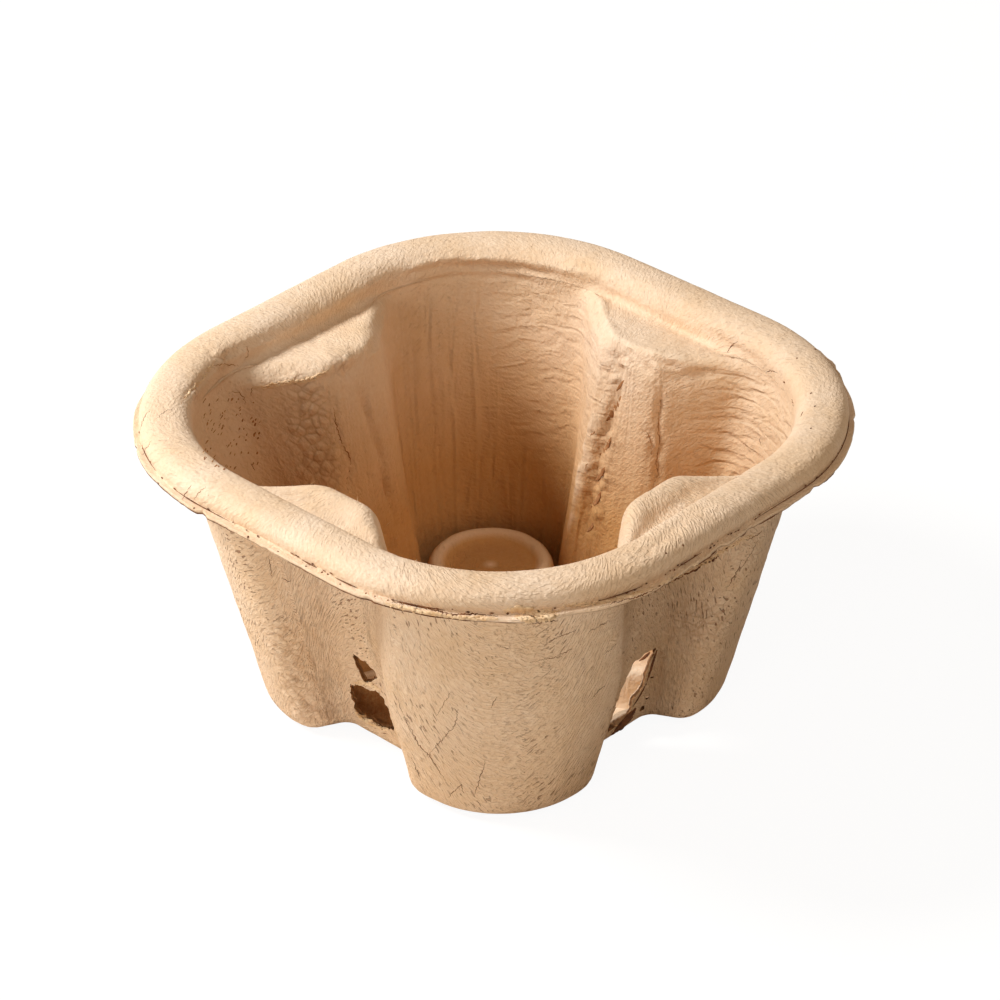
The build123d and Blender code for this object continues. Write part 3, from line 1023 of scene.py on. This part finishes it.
def shares(points, sides, lift, scaly, sheet, caster):
    """What the pulp's material needs to know at every point, mostly shares from 0 to 1."""
    x, y, z = points.T
    more = np.zeros(len(points) - len(lift))
    on_wall = np.concatenate([np.concatenate(sheet.walls), more == 0])
    cup, out = sides == CUP, sides == MOULD
    pad = np.min([np.hypot(x - cx, y - cy) for cx, cy in pad_centres()], axis=0)
    on_pad = cup & ~on_wall & (z > 3)

    def around(spots, reach):
        hits = [caster.hit(*spot)[0] for spot in drawn(spots)]
        gaps = [np.linalg.norm(points - hit, axis=1) for hit in hits]
        return np.max([np.exp(-((gap / reach) ** 2)) for gap in gaps], axis=0) * cup

    # painted shade: browner and darker down inside the cup, where shade falls, and faintly browner towards
    # the bottom outside
    depth = np.where(cup, np.clip((64 - z) / 40, 0, 1), np.clip((50 - z) / 120, 0, 1) * 0.4)
    depth[sides == RIM] = 0
    # paler where the surface stands proud, a painted highlight on the pads' raised rings, and painted light
    # on the wall that the long tear shows behind it
    worn = np.concatenate([np.clip((lift - 0.35) / 0.6, 0, 0.7), more])
    # painted highlight on the raised ring of each pad
    worn = np.maximum(worn, on_pad * np.clip(1.5 - np.abs(pad - 11.9) / 1.3, 0, 1))
    worn = np.maximum(worn, 1.7 * around(PAINTED_LIGHT_BEHIND, 7.0))
    # painted shade: the foot of the inner walls, the pads' dishes and the wall seen through the left tear are
    # darkened
    foot, dish = np.clip((13 - z) / 10, 0, 1), np.clip((10 - pad) / 3, 0, 1)
    painted_shade = np.maximum(cup * (on_wall * foot * 0.5 + on_pad * dish * 0.3), 1.1 * around(PAINTED_SHADE_BEHIND, 9.0))
    # ripples cross the right lobe and the right half of the far one
    low_cup = cup * on_wall * np.clip((65 - z) / 3, 0, 1)
    right = np.clip((x - 12) / 8, 0, 1) * np.clip((y - 6) / 8, 0, 1)
    far = np.clip((4 - x) / 8, 0, 1) * np.clip((y - 4) / 8, 0, 1)
    far_right = far * np.clip((x + y + 4) / 12, 0, 1) * np.clip((z - 16) / 16, 0, 1)
    # which way round its lobe a point lies, from -1 to 1, for the slant of the pattern
    hub = np.stack([np.where(x > 0, PLACE, -PLACE), np.where(y > 0, PLACE, -PLACE)])
    turn = np.arctan2(y - hub[1], x - hub[0]) - np.arctan2(hub[1], hub[0])
    lean = np.clip((turn + math.pi) % (2 * math.pi) - math.pi, -1.6, 1.6) / 1.6
    # the pattern is strong outside, and fainter over the rim and inside
    bumpy = np.clip((x - 24) / 14, 0, 1) * np.clip((30 - y) / 20, 0, 1) * (z > 66)
    # painted shadow darkens the lip's underside
    under = (sides == RIM) & (z < LIP_Z + 0.40)
    return {
        "depth": depth, "worn": worn, "painted_shade": painted_shade, "lean": lean, "outside": out * 1.0,
        "scaly": np.concatenate([scaly, more]),
        "ripple": low_cup * np.maximum(right, 0.55 * far_right),
        "streak": low_cup * (far * (1 - far_right) + 0.35 * (1 - far) * (1 - right)),
        "painted_lip_shadow": under * np.clip((LIP_Z + 0.42 - z) / 0.25, 0, 1),
        "weft": np.where(out & (z < 66), 1.0, 0.26 + 0.40 * bumpy),
    }


def make_carrier(materials):
    sheet = build_sheet()
    points, sides = np.concatenate(sheet.points), np.concatenate(sheet.sides)
    mesh = mesh_of("draft", points, sheet.faces)
    outward(mesh)
    normals = normals_of(mesh)
    lift, scaly = relief(points, normals, sides, Caster(mesh))
    bpy.data.meshes.remove(mesh)
    points = np.clip(points + normals * lift[:, None], BOX_LOW, BOX_HIGH)
    points, faces, torn, sides = cut_tears(points, sheet.faces, sides, np.concatenate(sheet.walls))
    mesh = mesh_of("carrier_pulp", points, faces + torn)
    for polygon in mesh.polygons[len(faces):]:
        polygon.material_index = 1
    outward(mesh)
    for key, values in shares(points, sides, lift, scaly, sheet, Caster(mesh)).items():
        mesh.attributes.new(key, "FLOAT", "POINT").data.foreach_set("value", values.astype(np.float32))
    add_flow(mesh, points, sheet)
    mesh.polygons.foreach_set("use_smooth", [True] * len(mesh.polygons))
    mesh.set_sharp_from_angle(angle=math.radians(42))
    return object_of(mesh, *materials)


# a strand's neighbouring points lie closer than this, in mm, unless the line leaves its surface
JUMP = 1.6


def tube(points, normals, radii, sink):
    """Vertices and faces of a thin closed strand along points."""
    sides, count = 6, len(points)
    verts, faces = [], []
    for n in range(count):
        ahead = points[min(n + 1, count - 1)] - points[max(n - 1, 0)]
        ahead = ahead / max(np.linalg.norm(ahead), 1e-9)
        up = normals[n] - ahead * (normals[n] @ ahead)
        up = up / max(np.linalg.norm(up), 1e-9)
        side = np.cross(ahead, up)
        wide, tall = radii[n]
        for k in range(sides):
            t = 2 * math.pi * k / sides
            verts.append(points[n] + side * wide * math.cos(t) + up * (tall * math.sin(t) - sink))
    for n in range(count - 1):
        for k in range(sides):
            a, b = n * sides + k, n * sides + (k + 1) % sides
            faces.append((a, b, b + sides, a + sides))
    faces.append(tuple(range(sides - 1, -1, -1)))
    faces.append(tuple(range((count - 1) * sides, count * sides)))
    return verts, faces


def unbroken(line):
    """Parts of a line, cut where it jumps from one surface to another one further back."""
    parts = [[]]
    for spot in line:
        if parts[-1] and np.linalg.norm(spot[0] - parts[-1][-1][0]) > JUMP:
            parts.append([])
        parts[-1].append(spot)
    return [part for part in parts if len(part) > 2]


def strands(name, lines, material):
    """One piece of many strands: each line is (points with normals, width, height, sink, seed)."""
    verts, faces = [], []
    for line, wide, tall, sink, seed in [(part, *rest) for line, *rest in lines for part in unbroken(line)]:
        dice = random.Random(seed)
        count = len(line)
        radii, swell = [], 1.0
        uneven = (0.35, 1.6) if wide < 0.3 else (0.8, 1.2)
        for n in range(count):
            end = min(1.0, 0.25 + 3.0 * min(n, count - 1 - n) / count)
            swell = 0.6 * swell + 0.4 * dice.uniform(*uneven)
            radii.append((max(wide * end * swell, 0.03), max(tall * end * swell, 0.03)))
        v, f = tube([p for p, _ in line], [w for _, w in line], radii, sink)
        start = len(verts)
        verts += v
        faces += [tuple(start + i for i in face) for face in f]
    mesh = mesh_of(name, np.clip(np.array(verts), BOX_LOW, BOX_HIGH), faces)
    outward(mesh)
    mesh.polygons.foreach_set("use_smooth", [True] * len(mesh.polygons))
    return object_of(mesh, material)


# cracks and painted shadow lines as (pixels, width in mm, seed)
CRACK_AND_SHADOW_LINES = (
    # painted shadow: dark lines under the rim's bead and lip, frayed in front and ragged at the right
    ("392,602 406,604 424,608 438,611 452,615 468,614 484,615 500,616", 0.30, 1),
    ("530,622 534,624 542,622 560,620", 0.16, 2),
    ("600,607 620,601 640,596 658,588", 0.14, 3),
    ("658,587 672,582 684,575 696,570 704,563 714,560 722,551 736,544 744,538", 0.34, 4),
    ("746,540 756,536 764,530", 0.12, 5),
    # cracks of the cup side, which are creases
    ("334,405 335,420 340,438 350,458 351,466 346,480 349,494", 0.14, 6),
    ("662,396 659,415 658,430 660,445 656,462 658,474 652,492", 0.16, 7),
    ("642,430 649,434 652,446 651,456 644,459", 0.10, 8),
    ("181,404 187,394 196,388 204,378 213,366", 0.12, 9),
    ("213,366 224,364 240,366", 0.10, 10), ("246,346 249,352 244,362", 0.10, 11),
    ("231,392 240,392 244,398 246,406", 0.12, 12), ("253,386 250,398", 0.1, 13),
    # short cracks over the rim
    ("140,430 144,418 150,410", 0.12, 14), ("155,420 164,412 174,408", 0.09, 15),
    ("143,455 148,446 152,440", 0.10, 16), ("182,499 188,490 192,483", 0.10, 17),
    ("195,499 199,492 207,486", 0.10, 18), ("727,352 733,345 739,340", 0.12, 19),
    ("765,373 770,370 779,374", 0.10, 20), ("792,399 794,408", 0.12, 21),
    ("760,438 760,447", 0.12, 22), ("800,416 804,411", 0.12, 23),
    ("742,560 735,575 726,590", 0.10, 26), ("758,540 748,558 740,570", 0.08, 27),
    # branched cracks low on the near lobe and on the left lobe
    ("409,725 414,735 419,745 429,755 434,763 439,771 445,779", 0.16, 30),
    ("429,755 433,750 440,742 448,733 455,725 457,716 458,708", 0.09, 31),
    ("412,758 417,771 422,781", 0.10, 32), ("448,797 455,790 462,784 463,794", 0.09, 36),
    ("474,795 478,784 482,772 486,759", 0.09, 37), ("491,708 494,701 498,696", 0.10, 38),
    ("437,716 446,700 452,690", 0.07, 39), ("404,716 409,726", 0.10, 40),
    ("500,646 512,650", 0.06, 41), ("398,700 402,712 408,722", 0.08, 42),
    ("268,556 271,570 272,580", 0.08, 33), ("282,578 288,582 294,578", 0.08, 34),
    ("255,470 250,462", 0.08, 35),
    # long rising dashes at the right of the near lobe
    ("546,643 556,638 566,634 577,630", 0.12, 43), ("589,632 600,626 611,620", 0.12, 44),
    ("530,663 545,659 563,656", 0.10, 45), ("556,656 566,652 574,648", 0.14, 46),
    ("604,655 612,648 618,642", 0.10, 47), ("590,700 600,690 608,682", 0.10, 48),
    # painted shade: dark edges of the long tear, and a dark patch in the hollow below it
    ("657,650 653,662 650,672 646,684 641,694 636,702 632,708", 0.5, 50),
    ("636,708 630,716 624,723 617,730 610,736", 2.0, 51),
    ("650,652 644,658 638,662", 0.5, 52),
    # gashes of the folded column, which are creases
    ("624,380 620,386 616,392", 0.45, 60), ("621,396 617,405 612,414 606,422", 1.0, 61),
    ("611,437 608,445 603,452 599,456", 0.85, 62), ("605,467 601,475 595,482", 0.8, 63),
    ("601,492 597,501 590,508", 0.8, 64), ("595,521 591,528 586,533", 0.6, 65),
    ("603,398 598,404", 0.14, 66), ("595,430 590,438", 0.14, 67), ("588,462 584,470", 0.12, 68),
)

CREASE_SEEDS = (*range(6, 14), *range(60, 69))
SPECKS = ("340,584 366,593 375,596 388,600 248,537 278,551 158,483 194,508 203,515 306,566 322,572 815,406 "
          "811,393 811,428 784,382 797,358 815,349 843,372 666,553 683,545 351,685 375,677 652,677 646,684")


FIBRES = ("385,524 394,541 415,559 429,564 449,567 466,569 469,569 488,571 506,571 358,500 310,482 "
          "333,489 203,451")
# pale torn fibres along the lines under the rim, over the seam at the left and at the tears: (pixels, width)
FRAYS = (
    ("384,604 400,607 420,612 440,616 462,619 480,618 502,619", 0.34),
    ("560,611 566,606 580,605 600,603 622,598 642,592 660,585", 0.30),
    ("660,584 674,579 690,570 706,562 722,552 740,541 756,534", 0.22),
    ("213,364 206,374 198,384 190,391 184,400", 0.28),
    ("252,389 262,387 276,385 290,382 306,381 320,376 334,367", 0.30),
    ("354,709 359,716 367,721 377,726 390,731", 0.42),
    ("353,684 362,683 372,686 382,691", 0.45),
    ("505,611 520,610 540,613 560,612", 0.9),
    ("515,616 530,620 545,618 560,616", 0.8),
)


def fibre_lines(caster):
    """Short hairs that stand up along the near inner edge of the rim."""
    lines = []
    dice = random.Random(5)
    for x, y in drawn(FIBRES):
        place, normal = caster.hit(x, y + 3)
        if place is None:
            continue
        lean = np.array([dice.uniform(-0.5, 0.5) for _ in range(3)])
        way = RIGHT * dice.uniform(-0.2, 0.7) + UP * 0.8 + lean * 0.3
        length = dice.uniform(0.7, 1.5)
        line = [(place + way * length * t + RIGHT * 0.25 * t * t, -VIEW) for t in np.linspace(-0.2, 1, 6)]
        lines.append((line, 0.05, 0.05, 0, dice.random()))
    return lines


def runs(kept, places, out, radii, seed):
    """Strands along the columns that are kept, where more than three of them stand together."""
    lines, run = [], []
    for n in range(AROUND + 1):
        if n < AROUND and kept[n]:
            run.append((places(n), out[n]))
        else:
            if len(run) > 3:
                lines.append((run, *radii, 0.0, seed + n))
            run = []
    return lines


def edge_lines():
    """Painted shadow under the lip's edge: dark strands in runs of uneven length; painted shade in the groove
    above it: a dark line and pits.
    """
    edge = rim_row(BEAD_R + BEAD_W + lip_reach() * 0.82, LIP_Z + 0.04)
    groove = rim_row(BEAD_R + BEAD_W - 0.12, LIP_Z + 1.15)
    out = np.column_stack([RIM_WAY, np.zeros(AROUND)])
    dice = random.Random(8)
    # painted shadow under the lip's edge
    lines = runs(layers(edge, 12.0, 81, 3) > -0.15,
                 lambda n: edge[n] + [0, 0, 0.05 * dice.uniform(-1, 1)], out, (0.17, 0.16), 0)
    # painted shade in the groove between the bead and the lip
    kept = (layers(groove, 9.0, 83, 3) > -0.05) | (seen(groove)[:, 0] > 770)
    lines += runs(kept, lambda n: groove[n], out, (0.10, 0.10), 500)
    for k in range(AROUND):
        if dice.random() < 0.22:
            spot = groove[k] + np.array([0, 0, dice.uniform(-0.25, 0.5)])
            way = groove[(k + 1) % AROUND] - groove[k]
            way = way / np.linalg.norm(way) * dice.uniform(0.15, 0.5)
            pit = [(spot + way * s, out[k]) for s in (-1, 0, 1)]
            lines.append((pit, dice.uniform(0.1, 0.24), 0.14, 0.0, k))
    return lines


def make_details(caster, dark, soft, pale):
    """The strands, whose lines are each (points with normals, width, height, sink, seed)."""
    crack_and_shadow_strands, creases, frays = edge_lines(), [], fibre_lines(caster)
    for pixels, width, seed in CRACK_AND_SHADOW_LINES:
        line = caster.line(drawn(pixels), 1.3, 0.8 if width < 0.4 else 0.1, seed)
        (creases if seed in CREASE_SEEDS else crack_and_shadow_strands).append((line, 0.75 * width, 0.06, 0.0, seed))
    for n, (x, y) in enumerate(drawn(SPECKS)):
        line = caster.line([(x - 1.0, y), (x + 1.0, y + 0.4), (x + 1.6, y + 0.5)], 0.6, 0.1, n)
        crack_and_shadow_strands.append((line, 0.26, 0.08, 0.0, 100 + n))
    # short dashes in the left lobe
    dice = random.Random(12)
    for n in range(90):
        x, y = 204 + 56 * dice.random() ** 1.2, dice.uniform(398, 470)
        slant, length = dice.uniform(0.2, 0.9), dice.uniform(0.8, 2.2)
        dash = [(x - length * slant, y + length), (x, y), (x + length * slant, y - length)]
        creases.append((caster.line(dash, 0.5, 0.1, n), dice.uniform(0.1, 0.22), 0.06, 0.0, 200 + n))
    for number, (pixels, wide) in enumerate(FRAYS):
        for strand in range(3):
            moved = [(x, y + 1.1 * (strand - 1)) for x, y in drawn(pixels)]
            line = caster.line(moved, 1.5, 1.4, 7 * number + strand)
            frays.append((line, wide * (1 - 0.2 * strand), 0.2, 0.02, number))
    return [strands("carrier_cracks_and_shadows", crack_and_shadow_strands, dark), strands("carrier_creases", creases, soft),
            strands("carrier_frays", frays, pale)]


# Floor, lights and camera
SKY_COLOUR, SKY_STRENGTH = (1.0, 0.735, 0.47), 0.19
FLOOR_COLOUR, FLOOR_SIZE, FLOOR_DROP = (0.82, 0.78, 0.72), 1600, 0.2
# the floor's glow to the camera, and its share beside the lit floor, which keeps the shadow
FLOOR_GLOW, GLOW_SHARE = 1.08, 0.86
# name, place, width of the disk, power in watts and colour
LAMPS = (
    ("key", (-440, -338, 560), 250, 6.9, (0.93, 0.965, 1.0)),
    ("fill", (170, -760, 230), 300, 1.55, (1.0, 0.93, 0.84)),
    ("top", (340, 60, 600), 260, 0.65, (1.0, 0.96, 0.9)),
)
AIM = (0, 0, 40)


def make_world():
    """A warm dim sky, which the camera sees as white."""
    world = bpy.data.worlds.new("studio")
    bpy.context.scene.world = world
    world.use_nodes = True
    sky = Nodes(world.node_tree)
    back = sky.tree.nodes["Background"]
    back.inputs["Color"].default_value = (*SKY_COLOUR, 1)
    back.inputs["Strength"].default_value = SKY_STRENGTH
    path = sky.node("ShaderNodeLightPath").outputs
    direct = sky.node("ShaderNodeMath", {0: path["Is Camera Ray"], 1: path["Is Glossy Ray"]},
                      operation="MAXIMUM")
    white = sky.node("ShaderNodeBackground", {"Color": (1, 1, 1, 1), "Strength": 1.0})
    blend = sky.node("ShaderNodeMixShader", {0: direct.outputs[0], 1: back.outputs[0], 2: white.outputs[0]})
    sky.link(blend.outputs[0], sky.tree.nodes["World Output"].inputs["Surface"])


def make_floor():
    """A floor that the camera sees as white wherever light reaches it, and that keeps the shadow."""
    mesh = bpy.data.meshes.new("studio_floor")
    work = bmesh.new()
    bmesh.ops.create_grid(work, x_segments=8, y_segments=8, size=FLOOR_SIZE * MM)
    work.to_mesh(mesh)
    work.free()
    p = Paint("studio floor", 1.0)
    p.shader.inputs["Base Color"].default_value = (*FLOOR_COLOUR, 1)
    lit = p.shader.outputs[0]
    glow = p.node("ShaderNodeEmission", {"Strength": FLOOR_GLOW})
    both = p.node("ShaderNodeMixShader", {0: GLOW_SHARE, 1: lit, 2: glow.outputs[0]})
    direct = p.node("ShaderNodeLightPath").outputs["Is Camera Ray"]
    blend = p.node("ShaderNodeMixShader", {0: direct, 1: lit, 2: both.outputs[0]})
    p.link(blend.outputs[0], p.tree.nodes["Material Output"].inputs["Surface"])
    piece = object_of(mesh, p.material)
    piece.location.z = -FLOOR_DROP * MM


def make_lamp(name, place, size, power, colour):
    light = bpy.data.lights.new(name, "AREA")
    light.shape, light.size, light.energy, light.color = "DISK", size * MM, power, colour
    lamp = bpy.data.objects.new(name, light)
    bpy.context.scene.collection.objects.link(lamp)
    lamp.location = Vector(place) * MM
    lamp.rotation_mode = "QUATERNION"
    way = (Vector(AIM) - Vector(place)).normalized()
    lamp.rotation_quaternion = way.to_track_quat("-Z", "Y")


def make_camera():
    data = bpy.data.cameras.new("camera")
    data.lens, data.sensor_width = FOCAL * SENSOR / PICTURE, SENSOR
    data.shift_x = (PICTURE / 2 - CENTRE_X) / PICTURE
    data.shift_y = (CENTRE_Y - PICTURE / 2) / PICTURE
    data.clip_start, data.clip_end = 0.01, 20
    camera = bpy.data.objects.new("camera", data)
    bpy.context.scene.collection.objects.link(camera)
    turn = Matrix([list(row) for row in zip(RIGHT, UP, -VIEW)])
    camera.matrix_world = Matrix.Translation(Vector(EYE * MM)) @ turn.to_4x4()
    bpy.context.scene.camera = camera


bpy.context.scene.view_settings.view_transform = "Standard"
# the last colour is painted shade for the inside of the cup
pulp = pulp_material("pulp", rgb(238, 213, 186), rgb(228, 197, 162), rgb(200, 150, 92))
# painted shade: the torn edges get a darker, browner copy of the pulp for the shade inside the tears
torn = pulp_material("pulp torn shaded", rgb(176, 128, 80), rgb(140, 94, 52), rgb(120, 76, 40))
carrier = make_carrier((pulp, torn))
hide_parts("carrier_shell")
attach(carrier, "root")
# the crack material also paints the shadow under the lip and the shade at the long tear
crack_and_shadow = crack_material("pulp crack", rgb(80, 42, 16), rgb(138, 86, 44))
crease = crack_material("pulp crease", rgb(150, 98, 54), rgb(186, 134, 86))
for detail in make_details(Caster(carrier.data), crack_and_shadow, crease, fray_material()):
    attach(detail, "root")

make_world()
make_floor()
for lamp in LAMPS:
    make_lamp(*lamp)
make_camera()
